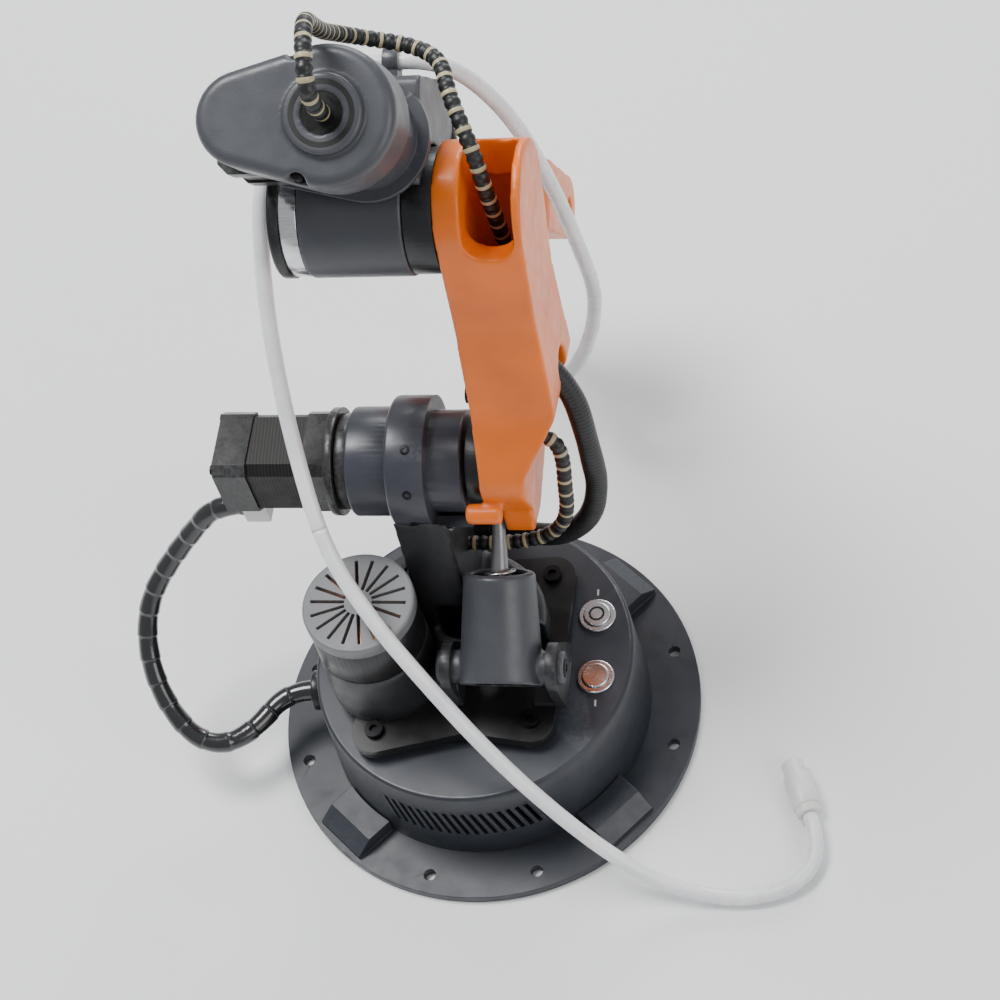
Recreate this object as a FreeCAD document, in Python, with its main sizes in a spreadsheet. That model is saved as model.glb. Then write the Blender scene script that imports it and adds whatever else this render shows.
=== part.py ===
import FreeCAD, Part

import math
import os
import re

# A small desktop robot arm with six axes, a spring balancer and a suction tool.
# Frame: millimetres, origin at the centre of the base's underside, +Z up along the
# first axis, +Y the way the arm reaches, +X to its right.

V = FreeCAD.Vector
doc = FreeCAD.newDocument("desktop_arm")

# ---------------------------------------------------------------- driving dimensions

SIZES = {
    "flange_radius": 80,
    "flange_height": 4,
    "flange_bore": 54,
    "bolt_short": 20,
    "bolt_long": 70,
    "bolt_hole_radius": 2.2,
    "pad_width": 22,
    "wall_foot_radius": 61.5,
    "wall_top_radius": 59.8,
    "casing_top": 42.3,
    "casing_wall": 2.6,
    "lid_thickness": 3,
    "lid_bore": 21.2,
    "vent_count": 19,
    "vent_width": 1.7,
    "vent_low": 17,
    "vent_high": 32,
    "button_x": 46,
    "button_radius": 5,
    "button_travel": 1.2,
    "bezel_radius": 7,
    "running_gap": 0.06,
    "gear_module": 1,
    "sun_teeth": 48,
    "pinion_teeth": 16,
    "gear_height": 4,
    "plate_base": 42.8,
    "plate_top": 50,
    "yaw_motor_angle": 201.8,
    "yaw_motor_radius": 20,
    "shoulder_forward": 29.69,
    "shoulder_height": 127,
    "upper_arm_length": 108,
    "elbow_offset": 20,
    "forearm_length": 168.98,
    "wrist_to_flange": 24.29,
    "motor_side": 28,
    "hub_radius": 23.2,
    "gearbox_radius": 19.3,
    "link_left": 19,
    "link_thickness": 29,
    "drum_radius": 21,
    "cover_big": 21.5,
    "cover_small": 14.5,
    "cover_reach": 26,
    "tube_radius": 10.8,
    "tube_end": 112,
    "prong_radius": 12,
    "fork_half": 29,
    "fork_gap_half": 16.5,
    "tool_motor_radius": 8.5,
    "harness_radius": 4,
    "wrap_radius": 2.75,
    "sleeve_radius": 4.2,
    "hose_radius": 2.8,
    "cup_lip": 60,
    "balancer_x": 18,
    "balancer_y": -21,
    "balancer_z": 71,
    "balancer_foot_radius": 15.5,
    "balancer_top_radius": 12.8,
    "strut_offset": 0.8,
    "tail_drop": 20,
    "yaw_rest": -4,
    "lean_rest": 14,
    "drop_rest": 57,
}

sheet = doc.addObject("Spreadsheet::Sheet", "Sizes")
for row, (alias, value) in enumerate(SIZES.items(), 1):
    sheet.set("A%d" % row, alias.replace("_", " "))
    sheet.set("B%d" % row, str(value))
    sheet.setAlias("B%d" % row, alias)
doc.recompute()


class Sheet:
    """Reads a driving dimension back from the spreadsheet by its alias."""

    def __getattr__(self, alias):
        return float(sheet.get(alias))


size = Sheet()

# ------------------------------------------------------------------ making solids

ALIAS = re.compile("|".join(sorted((r"\b%s\b" % a for a in SIZES), key=len, reverse=True)))
TURN = {
    "Z": FreeCAD.Rotation(),
    "-Z": FreeCAD.Rotation(V(1, 0, 0), 180),
    "X": FreeCAD.Rotation(V(0, 1, 0), 90),
    "-X": FreeCAD.Rotation(V(0, 1, 0), -90),
    "Y": FreeCAD.Rotation(V(1, 0, 0), -90),
    "-Y": FreeCAD.Rotation(V(1, 0, 0), 90),
}


def bind(solid, **formulas):
    """Ties an object's sizes to the spreadsheet's cells."""
    for field, formula in formulas.items():
        solid.setExpression(field, ALIAS.sub(lambda m: "Sizes." + m.group(), str(formula)))


def spot(at=(0, 0, 0), axis="Z"):
    return FreeCAD.Placement(V(*at), TURN[axis] if isinstance(axis, str) else axis)


def cylinder(name, radius, height, at=(0, 0, 0), axis="Z"):
    solid = doc.addObject("Part::Cylinder", name)
    bind(solid, Radius=radius, Height=height)
    solid.Placement = spot(at, axis)
    return solid


def cone(name, low, high, height, at=(0, 0, 0), axis="Z"):
    solid = doc.addObject("Part::Cone", name)
    bind(solid, Radius1=low, Radius2=high, Height=height)
    solid.Placement = spot(at, axis)
    return solid


def box(name, length, width, height, at=(0, 0, 0), turn=0):
    """A box centred on its place in X and Y, standing on it in Z."""
    solid = doc.addObject("Part::Box", name)
    bind(solid, Length=length, Width=width, Height=height)
    doc.recompute([solid])
    lift = V(-solid.Length.Value / 2, -solid.Width.Value / 2, 0)
    rotation = FreeCAD.Rotation(V(0, 0, 1), turn)
    solid.Placement = FreeCAD.Placement(V(*at), rotation) * FreeCAD.Placement(lift, FreeCAD.Rotation())
    return solid


def group(name, solids):
    compound = doc.addObject("Part::Compound", name)
    compound.Links = list(solids)
    return compound


def fuse(name, *solids):
    joined = doc.addObject("Part::MultiFuse", name)
    joined.Shapes = list(solids)
    joined.Refine = True
    return joined


def cut(name, base, *tools):
    result = doc.addObject("Part::Cut", name)
    result.Base = base
    result.Tool = tools[0] if len(tools) == 1 else group(name + "_tools", tools)
    return result


def common(name, *solids):
    result = doc.addObject("Part::MultiCommon", name)
    result.Shapes = list(solids)
    return result


def tube(name, outer, inner, height, at=(0, 0, 0), axis="Z"):
    """A plain ring or pipe."""
    return cut(
        name,
        cylinder(name + "_outside", outer, height, at, axis),
        cylinder(name + "_bore", inner, height, at, axis),
    )


def around(name, count, radius, make, first=0.0, centre=(0, 0)):
    """The same small solid, repeated evenly round a circle."""
    made = []
    for i in range(count):
        angle = math.radians(first + 360 * i / count)
        x = centre[0] + radius * math.cos(angle)
        y = centre[1] + radius * math.sin(angle)
        made.append(make("%s_%d" % (name, i), x, y))
    return made


def rounded(name, base, radius, wanted):
    """Rounds the edges that wanted() picks."""
    doc.recompute()
    fillet = doc.addObject("Part::Fillet", name)
    fillet.Base = base
    edges = base.Shape.Edges
    fillet.Edges = [(i, radius, radius) for i, e in enumerate(edges, 1) if wanted(e)]
    return fillet


def circle_at(axis, place, radius=None):
    """Picks full circles about a main axis, at a place along it, of one radius if given."""
    letter = "xyz".index(axis)

    def wanted(edge):
        curve = edge.Curve
        if not isinstance(curve, Part.Circle) or abs(curve.Center[letter] - place) > 0.01:
            return False
        return radius is None or abs(curve.Radius - radius) < 0.01

    return wanted


# ------------------------------------------------------------------ outlines and pads


def corners(points):
    """Lines and arcs round a closed outline; each point is (x, y, corner radius)."""
    geometry = []
    count = len(points)
    starts, ends, arcs = [], [], []
    for i in range(count):
        before, here, after = (V(*points[j % count][:2], 0) for j in (i - 1, i, i + 1))
        radius = points[i][2]
        back, ahead = (before - here).normalize(), (after - here).normalize()
        half = back.getAngle(ahead) / 2
        reach = radius / math.tan(half)
        first, last = here + back * reach, here + ahead * reach
        starts.append(first)
        ends.append(last)
        if radius > 0:
            inward = (back + ahead).normalize()
            middle = here + inward * (radius / math.sin(half) - radius)
            arcs.append(Part.Arc(first, middle, last))
        else:
            arcs.append(None)
    for i in range(count):
        if arcs[i]:
            geometry.append(arcs[i])
        following = starts[(i + 1) % count]
        if ends[i].distanceToPoint(following) > 1e-6:
            geometry.append(Part.LineSegment(ends[i], following))
    return geometry


def hull(centre_a, radius_a, centre_b, radius_b):
    """Two circles joined by their outer tangents, as a closed outline."""
    a, b = V(*centre_a, 0), V(*centre_b, 0)
    along = (b - a).normalize()
    side = V(-along.y, along.x, 0)
    lean = math.acos((radius_a - radius_b) / a.distanceToPoint(b))
    up = along * math.cos(lean) + side * math.sin(lean)
    down = along * math.cos(lean) - side * math.sin(lean)
    return [
        Part.Arc(a + down * radius_a, a - along * radius_a, a + up * radius_a),
        Part.LineSegment(a + up * radius_a, b + up * radius_b),
        Part.Arc(b + up * radius_b, b + along * radius_b, b + down * radius_b),
        Part.LineSegment(b + down * radius_b, a + down * radius_a),
    ]


def pad(name, outline, thickness, plane="XY_Plane", at=(0, 0, 0), turn=None, holes=()):
    """A PartDesign body: one closed sketch, with round holes (x, y, radius), made thick."""
    body = doc.addObject("PartDesign::Body", name)
    sketch = body.newObject("Sketcher::SketchObject", name + "_sketch")
    origin_plane = [f for f in body.Origin.OriginFeatures if f.Role == plane][0]
    sketch.AttachmentSupport = [(origin_plane, "")]
    sketch.MapMode = "FlatFace"
    sketch.addGeometry(outline, False)
    for x, y, radius in holes:
        sketch.addGeometry(Part.Circle(V(x, y, 0), V(0, 0, 1), radius), False)
    solid = body.newObject("PartDesign::Pad", name + "_pad")
    solid.Profile = sketch
    bind(solid, Length=thickness)
    body.Placement = FreeCAD.Placement(V(*at), turn or FreeCAD.Rotation())
    return body


SIDEWAYS = FreeCAD.Rotation(V(0, 0, 1), V(1, 0, 0)) * FreeCAD.Rotation(V(0, 0, 1), 90)
# In a SIDEWAYS pad the sketch's x runs along Y, its y along Z, and it thickens along X.


def motor_outline(side, corner=3.2):
    half = side / 2
    clipped = []
    for sx, sy in ((1, 1), (-1, 1), (-1, -1), (1, -1)):
        pair = [(sx * half, sy * (half - corner), 0), (sx * (half - corner), sy * half, 0)]
        clipped += pair if sx * sy > 0 else pair[::-1]
    return corners(clipped)


# ------------------------------------------------------------------ the arm's frames

X_AXIS = V(1, 0, 0)


def step(parent, shift, angle=0.0, axis=X_AXIS):
    return parent * FreeCAD.Placement(V(*shift), FreeCAD.Rotation(axis, angle))


ground = FreeCAD.Placement()
turret = step(ground, (0, 0, 0), size.yaw_rest, V(0, 0, 1))
upper_arm = step(turret, (0, size.shoulder_forward, size.shoulder_height), -size.lean_rest)
head = step(upper_arm, (0, 0, size.upper_arm_length), size.lean_rest - size.drop_rest)
forearm = step(head, (0, 0, size.elbow_offset))
wrist = step(forearm, (0, size.forearm_length, 0), size.drop_rest)
lean = math.radians(size.lean_rest)
tail_y = size.shoulder_forward - size.tail_drop * math.sin(lean)
tail_z = size.shoulder_height - size.tail_drop * math.cos(lean)
rod_angle = size.strut_offset + math.degrees(
    math.atan2(tail_z - size.balancer_z, tail_y - size.balancer_y))
balancer = step(turret, (size.balancer_x, size.balancer_y, size.balancer_z), rod_angle)
rod_pin = step(turret, (size.balancer_x, tail_y, tail_z), rod_angle)
rod_span = math.hypot(tail_y - size.balancer_y, tail_z - size.balancer_z)

NODES = []

BUTTON_YS = (14, -12)
PORT = (-61.2, -2, 26)
PLATE_LOBES = ((28, 30), (-27, 31), (-31, -36.5), (26, -31))
ARM_SCREWS = ((12, 30), (-9, 38))
CLIP = (0, 6, 49.5)


def node(label, solid, frame=ground):
    """Names a finished sub-part and sets it in its link's frame."""
    doc.recompute()
    solid.Label = label
    solid.Placement = frame * solid.Placement
    NODES.append(solid)
    return solid


# ------------------------------------------------------------------ base


def make_base():
    ring = tube("flange_ring", "flange_radius", "flange_bore", "flange_height")
    pad_profile = corners([(58, 3, 0), (77.5, 3, 0), (77.5, 6, 0), (71, 10.5, 0), (58, 10.5, 0)])
    pads = []
    for k in range(4):
        wedge = pad("flange_pad_%d" % k, pad_profile, "pad_width", plane="XZ_Plane")
        direction = FreeCAD.Rotation(V(0, 0, 1), 45 + 90 * k)
        wedge.Placement = FreeCAD.Placement(V(0, 0, 0), direction) * FreeCAD.Placement(
            V(0, size.pad_width / 2, 0), FreeCAD.Rotation()
        )
        pads.append(wedge)
    flange = fuse("flange_body", ring, *pads)
    holes = []
    for a, b in ((size.bolt_short, size.bolt_long), (size.bolt_long, size.bolt_short)):
        for sx, sy in ((1, 1), (-1, 1), (-1, -1), (1, -1)):
            name = "bolt_hole_%d" % len(holes)
            holes.append(cylinder(name, "bolt_hole_radius", "flange_height + 2", (sx * a, sy * b, -1)))
    clearance = cone("flange_seat", "wall_foot_radius + 0.05", "wall_foot_radius + 0.05", 20,
                     (0, 0, size.flange_height))
    node("base_flange", cut("flange_cut", flange, clearance, *holes))

    height = "casing_top - flange_height"
    foot, top = size.wall_foot_radius, size.wall_top_radius
    bottom = (0, 0, size.flange_height)
    outside = cone("casing_outside", "wall_foot_radius", "wall_top_radius", height, bottom)
    outside = rounded("casing_edge", outside, 1.6, circle_at("z", size.casing_top, top))
    inside = cone("casing_inside", "wall_foot_radius - casing_wall", "wall_top_radius - casing_wall",
                  "casing_top - flange_height - lid_thickness", bottom)
    bore = cylinder("casing_bore", "lid_bore", 12, (0, 0, size.casing_top - 10))
    cuts = [inside, bore]
    for y in BUTTON_YS:
        cuts.append(cylinder("button_hole_%d" % y, "bezel_radius - 0.8", 12,
                             (size.button_x, y, size.casing_top - 8)))
    for i in range(int(size.vent_count)):
        angle = -90 - 29 + 58 * i / (size.vent_count - 1)
        slot = box("vent_%d" % i, 12, "vent_width", "vent_high - vent_low")
        slant = FreeCAD.Rotation(V(1, 0, 0), 14)
        out = FreeCAD.Placement(V(0, 0, size.vent_low), FreeCAD.Rotation(V(0, 0, 1), angle))
        slot.Placement = out * FreeCAD.Placement(V(foot - 1, 0, 0), slant) * slot.Placement
        cuts.append(slot)
    cuts.append(cylinder("port_hole", 6.2, 16, (-64, *PORT[1:]), "X"))
    # The first axis turns on one ring bearing, held in a boss under the lid.
    boss_bottom = size.casing_top - size.lid_thickness - 9
    seat = tube("bearing_seat", 27, 21.2, 9, (0, 0, boss_bottom))
    node("base_casing", fuse("casing_whole", cut("casing_cut", outside, *cuts), seat))
    node("yaw_bearing", tube("yaw_bearing_ring", 21.2, "15.4 + running_gap", 9, (0, 0, boss_bottom)))

    cover = cylinder("cover_disc", "flange_bore - 0.2", 2, (0, 0, 0.6))
    screw_holes = around("cover_hole", 4, 47, lambda n, x, y: cylinder(n, 1.6, 4, (x, y, 0)), 45)
    cover_vents = [box("cover_vent_%d" % i, 44, 2.4, 4, (0, 10 * i - 20, 0)) for i in range(5)]
    posts = around("post", 4, 38, lambda n, x, y: tube(n, 3, 1.6, 6.4, (x, y, 2.6)), 45)
    node("base_bottom_cover", fuse("cover_whole", cut("cover_cut", cover, *screw_holes, *cover_vents), *posts))
    node("bottom_cover_screws", group("cover_screws", around(
        "cover_screw", 4, 47, lambda n, x, y: cylinder(n, 1.5, 9, (x, y, 0.8)), 45)))
    board = box("board_plate", 62, 62, 1.6, (0, 0, 9))
    chips = [box("board_chip_%d" % i, 12, 12, 2.5, (14 * i - 21, -12, 10.6)) for i in range(4)]
    chips.append(box("board_socket", 26, 9, 8, (0, 22, 10.6)))
    board = fuse("board_parts", board, *chips)
    node("control_board", cut("board_cut", board, *around(
        "board_hole", 4, 38, lambda n, x, y: cylinder(n, 1.6, 4, (x, y, 8)), 45)))

    node("yaw_sun_gear", gear("sun_gear", size.sun_teeth, 15.6, "gear_height",
                              (0, 0, size.casing_top), 0), turret)

    node("button_bezels", group("bezels", [
        rounded("bezel_round_%d" % y,
                tube("bezel_%d" % y, "bezel_radius", "button_radius + running_gap", 1.4,
                     (size.button_x, y, size.casing_top)),
                0.6, circle_at("z", size.casing_top + 1.4, size.bezel_radius))
        for y in BUTTON_YS
    ]))
    for name, y in zip(("power_button", "reset_button"), BUTTON_YS):
        stem = cylinder(name + "_stem", 2.6, 9, (size.button_x, y, size.casing_top - 7.6))
        face = cylinder(name + "_face", "button_radius", 2.6, (size.button_x, y, size.casing_top - 0.2))
        cap = rounded(name + "_cap", face, 0.5, circle_at("z", size.casing_top + 2.4))
        node(name, fuse(name + "_whole", stem, cap))

    gland = fuse("gland_body",
                 cylinder("gland_nose", 6.2, 8, PORT, "X"),
                 rounded("gland_collar_round",
                         cylinder("gland_collar", 7.6, 3, (PORT[0] - 3, *PORT[1:]), "X"),
                         0.8, circle_at("x", PORT[0] - 3)))
    node("harness_gland", cut("gland_cut", gland, cylinder(
        "gland_bore", "harness_radius - 1", 14, (PORT[0] - 4, *PORT[1:]), "X")))


def gear(name, teeth, bore, height, at, first):
    """A spur gear with straight-flanked teeth, thinned a little for backlash."""
    pitch = teeth * size.gear_module / 2
    profile = []
    for i in range(int(teeth)):
        middle = 2 * math.pi * (i + first) / teeth
        for rise, half in ((-1.15, 0.98), (0.8, 0.3), (0.8, -0.3), (-1.15, -0.98)):
            radius = pitch + rise * size.gear_module
            angle = middle - half * size.gear_module / radius
            profile.append((radius * math.cos(angle), radius * math.sin(angle), 0))
    return pad(name, corners(profile), height, at=at, holes=[(0, 0, bore)])


# ------------------------------------------------------------------ turret


def make_turret():
    lobes = []
    for i, (x, y) in enumerate(PLATE_LOBES):
        lobes.append(pad("lobe_%d" % i, hull((0, 0), 36, (x, y), 8.5),
                         "plate_top - plate_base", at=(0, 0, size.plate_base)))
    lobes.append(pad("lobe_pinion", hull((0, 0), 36, yaw_motor_centre(), 12),
                     "plate_top - plate_base", at=(0, 0, size.plate_base)))
    plate = fuse("plate_lobes", *lobes)
    # The lobes pass over the buttons, so their underside is raised.
    undercut = tube("lobe_undercut", 60, 37, 2.7, (0, 0, size.plate_base - 0.1))
    gear_room = cylinder("gear_room", "(sun_teeth / 2 + 1.6) * gear_module", 5.3, (0, 0, size.plate_base - 0.1))
    pinion_room = cylinder("pinion_room", "(pinion_teeth / 2 + 1.6) * gear_module", 5.3,
                           (*yaw_motor_centre(), size.plate_base - 0.1))
    screw_holes = [cylinder("plate_hole_%d" % i, 2.1, 10, (x, y, size.plate_base - 1))
                   for i, (x, y) in enumerate(PLATE_LOBES)]
    shaft_hole = cylinder("pinion_shaft_hole", "2.5 + running_gap", 12, (*yaw_motor_centre(), size.plate_base))
    node("turret_plate", cut("plate_cut", plate, undercut, gear_room, pinion_room, shaft_hole,
                             *screw_holes), turret)
    screws = []
    for i, (x, y) in enumerate(PLATE_LOBES):
        head_part = cylinder("plate_screw_head_%d" % i, 3.4, 2.4, (x, y, size.plate_top))
        socket = cylinder("plate_screw_socket_%d" % i, 1.5, 2, (x, y, size.plate_top + 1))
        shank = cylinder("plate_screw_shank_%d" % i, 2.1, 4.4, (x, y, size.plate_top - 4.4))
        screws.append(cut("plate_screw_%d" % i, fuse("plate_screw_body_%d" % i, head_part, shank), socket))
    node("turret_screws", group("plate_screws", screws), turret)

    race_bottom = size.casing_top - size.lid_thickness - 9
    spindle = fuse("spindle_body",
                   cylinder("spindle_tube", 15.4, 18.3, (0, 0, race_bottom - 0.6)),
                   cylinder("spindle_lip", 18, 2, (0, 0, race_bottom - 2.6)))
    node("turret_spindle", cut("spindle_cut", spindle, cylinder(
        "spindle_bore", 9, 24, (0, 0, race_bottom - 3))), turret)

    hub_y, hub_z = size.shoulder_forward, size.shoulder_height
    drum = cylinder("body_drum", 30, 14, (0, 4, size.plate_top))
    drum = rounded("body_drum_round", drum, 4, circle_at("z", size.plate_top + 14))
    side = corners([(-2, 50, 0), (58, 50, 0), (52, 110, 6), (40, 146, 4), (8, 132, 8), (4, 96, 8)])
    riser = pad("riser", side, 19, at=(-15, 0, 0), turn=SIDEWAYS)
    hub_room = cylinder("hub_room", "hub_radius", 60, (-40, hub_y, hub_z), "X")
    body = cut("body_cut", fuse("body_solids", drum, riser), hub_room,
               cylinder("body_wire_bore", 9, 30, (0, 4, 45)),
               box("balancer_room", 40, 60, 60, (21, -28, 49)),
               cylinder("yaw_motor_room", "yaw_motor_radius + 0.8", 60, (*yaw_motor_centre(), 49)))
    node("turret_body", body, turret)

    x0, y0 = yaw_motor_centre()
    bridge = cut("skirt_bridge_cut", box("skirt_bridge", 26, 30, 20, (x0 + 17, y0 + 4, 50), 22),
                 cylinder("skirt_room", 30, 40, (0, 4, 49)),
                 box("skirt_riser_room", 60, 60, 40, (15, 28, 49)))
    skirt = fuse("skirt_body", bridge,
                 cone("skirt_cone", "yaw_motor_radius + 0.8", "yaw_motor_radius + 0.2", 27, (x0, y0, 50)))
    node("yaw_motor_housing", cut("skirt_cut", skirt,
                                  cylinder("skirt_bore", "yaw_motor_radius - 2", 30, (x0, y0, 52)),
                                  cylinder("skirt_shaft_hole", 3, 6, (x0, y0, 49))), turret)
    node("yaw_motor_shell", tube("motor_shell", "yaw_motor_radius", "yaw_motor_radius - 1.6", 18,
                                 (x0, y0, 77)), turret)
    node("yaw_motor", pad("yaw_motor_block", motor_outline(24), 38, at=(x0, y0, 53),
                          turn=FreeCAD.Rotation(V(0, 0, 1), 22)), turret)
    lid = cylinder("yaw_lid", "yaw_motor_radius + 0.3", 5, (x0, y0, 95))
    lid = rounded("yaw_lid_round", lid, 1, circle_at("z", 100))
    node("yaw_motor_lid", cut("yaw_lid_cut", lid, *radial_slots("yaw", 18, 5, 17.4, 1.3, (x0, y0, 96.5))),
         turret)
    pinion_z = size.casing_top + 1.7
    first = pinion_phase()
    wheel = gear("pinion_wheel", size.pinion_teeth, 1.2, "gear_height - 1", (x0, y0, pinion_z), first)
    shaft = cylinder("pinion_shaft", 2.5, 8.6, (x0, y0, pinion_z))
    node("yaw_pinion", fuse("pinion_whole", wheel, shaft), turret)

    node("shoulder_housing", shoulder_housing(hub_y, hub_z), turret)
    box_part = cylinder("gearbox_can", "gearbox_radius", 15, (-30, hub_y, hub_z), "X")
    box_part = rounded("gearbox_round", box_part, 1.2, circle_at("x", -30))
    can = cut("gearbox_cut", box_part, cylinder("gearbox_bore", 4, 20, (-32, hub_y, hub_z), "X"))
    coupler = fuse("coupler_body",
                   cylinder("coupler_disc", 17, 4, (-34, hub_y, hub_z), "X"),
                   cylinder("coupler_plate", 19.2, 3, (-37.4, hub_y, hub_z), "X"))
    coupler = cut("coupler_cut", coupler, cylinder("coupler_bore", 4, 12, (-39, hub_y, hub_z), "X"))
    node("shoulder_gearbox", group("gearbox_pair", [can, coupler]), turret)
    motor = stepper("shoulder_motor", ((-46, 8.6, 0), (-66, 20, 0.8), (-78, 12, 0)), (0, hub_y, hub_z))
    shaft = cylinder("shoulder_motor_shaft", 2.5, 38, (-37.4, hub_y, hub_z), "X")
    plug = box("shoulder_motor_plug", 9, 9, 9, (-70, hub_y - 6, hub_z - 23))
    node("shoulder_motor", group("shoulder_motor_parts", [*motor, shaft, plug]), turret)

    bx, by, bz = size.balancer_x, size.balancer_y, size.balancer_z
    cheeks = [
        pad("cheek_%d" % k, hull((by + 7, size.plate_top + 3), 12, (by, bz), 9), 3.6,
            at=(bx + side_x, 0, 0), turn=SIDEWAYS)
        for k, side_x in enumerate((-20.8, 17.2))
    ]
    foot = box("cheek_foot", 11.8, 22, 2.5, (bx + 14.9, by + 7, size.plate_top))
    trim = box("cheek_trim", 60, 60, 20, (bx, by, size.plate_top - 20))
    trunnion_bore = cylinder("trunnion_bore", "6 + running_gap", 60, (bx - 30, by, bz), "X")
    node("balancer_bracket", cut("bracket_cut", fuse("cheeks", *cheeks, foot), trim, trunnion_bore,
                                 cylinder("bracket_body_room", 30, 15, (0, 4, 49)),
                                 cylinder("bracket_skirt_room", 21.2, 60, (*yaw_motor_centre(), 49))),
         turret)


def stepper(name, sections, at):
    """A square stepper along X: end bells and a slightly smaller stack between them."""
    return [
        pad("%s_section_%d" % (name, i), motor_outline(size.motor_side - 2 * inset), length,
            at=(at[0] + start, *at[1:]), turn=SIDEWAYS)
        for i, (start, length, inset) in enumerate(sections)
    ]


def yaw_motor_centre():
    reach = (size.sun_teeth + size.pinion_teeth) / 2 * size.gear_module
    angle = math.radians(size.yaw_motor_angle)
    return reach * math.cos(angle), reach * math.sin(angle)


def pinion_phase():
    """The part of a tooth by which the pinion is turned, so that a gap faces a sun tooth."""
    angle = size.yaw_motor_angle / 360
    sun = angle * size.sun_teeth
    pinion = (angle + 0.5) * size.pinion_teeth
    return pinion + 0.5 - (round(sun) - sun)


def radial_slots(name, count, inner, outer, width, centre):
    """Thin slots like spokes, cut down into a lid whose axis is Z."""
    slots = []
    for i in range(count):
        slot = box("%s_slot_%d" % (name, i), outer - inner, width, 6)
        turn = FreeCAD.Rotation(V(0, 0, 1), 360 * i / count)
        middle = FreeCAD.Placement(V((outer + inner) / 2, 0, 0), FreeCAD.Rotation())
        slot.Placement = FreeCAD.Placement(V(*centre), turn) * middle * slot.Placement
        slots.append(slot)
    return slots


def shoulder_housing(hub_y, hub_z):
    """The big ring on the riser; above the sleeve its right end is cut back."""
    ring = cylinder("hub_ring", "hub_radius", 26.2, (-15, hub_y, hub_z), "X")
    ring = rounded("hub_ring_round", ring, 1.6, circle_at("x", -15))
    step_room = box("hub_step", 14, 60, 40, (6, hub_y, hub_z - 10))
    groove = tube("hub_groove", 19.2, 18, 14, (-1, hub_y, hub_z), "X")
    sleeve = cylinder("hub_sleeve", 18, 13.2, (-2, hub_y, hub_z), "X")
    sleeve = rounded("hub_sleeve_round", sleeve, 1, circle_at("x", 11.2))
    bore = cylinder("hub_bore", 11, 40, (2, hub_y, hub_z), "X")
    shaft_bore = cylinder("hub_shaft_bore", 4, 40, (-20, hub_y, hub_z), "X")
    ring = cut("hub_ring_cut", ring, step_room, groove)
    return cut("hub_cut", fuse("hub_solid", ring, sleeve), bore, shaft_bore)


# ------------------------------------------------------------------ balancer


def make_balancer():
    foot = 11
    length = 34
    can = cone("balancer_can", "balancer_foot_radius", "balancer_top_radius", foot + length,
               (0, -foot, 0), "Y")
    can = rounded("balancer_round", can, 1.6, circle_at("y", length))
    stubs = cylinder("trunnions", 6, 46, (-23, 0, 0), "X")
    stubs = rounded("trunnions_round", stubs, 0.8, lambda e: isinstance(e.Curve, Part.Circle))
    slant = box("foot_slant", 60, 20, 60, (0, -foot - 5.5, -30))
    slant.Placement = FreeCAD.Placement(V(0, 0, 0), FreeCAD.Rotation(X_AXIS, -12)) * slant.Placement
    inside = cone("balancer_inside", "balancer_foot_radius - 2.2", "balancer_top_radius - 2.2", 40,
                  (0, -7.5, 0), "Y")
    mouth = cylinder("balancer_mouth", 9.5, 12, (0, length - 6, 0), "Y")
    node("balancer_housing", cut("balancer_cut", fuse("balancer_solid", can, stubs), slant, inside, mouth),
         balancer)

    rod_length = rod_span - 8
    shaft = cylinder("rod_shaft", 2.4, rod_length - 6, (0, -rod_length, 0), "Y")
    collar = cone("rod_collar", 3.2, 2.4, 16, (0, -24.5, 0), "Y")
    piston = cylinder("rod_piston", 5.5, 3, (0, -rod_length - 2, 0), "Y")
    eye = cylinder("rod_eye", 4.4, 5, (-2.5, 0, 0), "X")
    neck = cylinder("rod_neck", 2.4, 9, (0, -9, 0), "Y")
    pin_hole = cylinder("rod_pin_hole", "2 + running_gap", 12, (-6, 0, 0), "X")
    node("balancer_rod", cut("rod_cut", fuse("rod_solid", shaft, collar, piston, eye, neck), pin_hole),
         rod_pin)
    spring_length = rod_length - 26
    turns = 7
    coil = Part.makeHelix(spring_length / turns, spring_length, 5)
    start = coil.Vertexes[0].Point
    wire_circle = Part.Wire(Part.makeCircle(0.8, start, V(0, 1, 0.1)))
    spring = Part.Wire(coil).makePipeShell([wire_circle], True, True)
    feature = doc.addObject("Part::Feature", "spring_coil")
    feature.Shape = spring
    feature.Placement = spot((0, -rod_length + 1.9, 0), "Y")
    node("balancer_spring", feature, rod_pin)


# ------------------------------------------------------------------ upper arm


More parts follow.
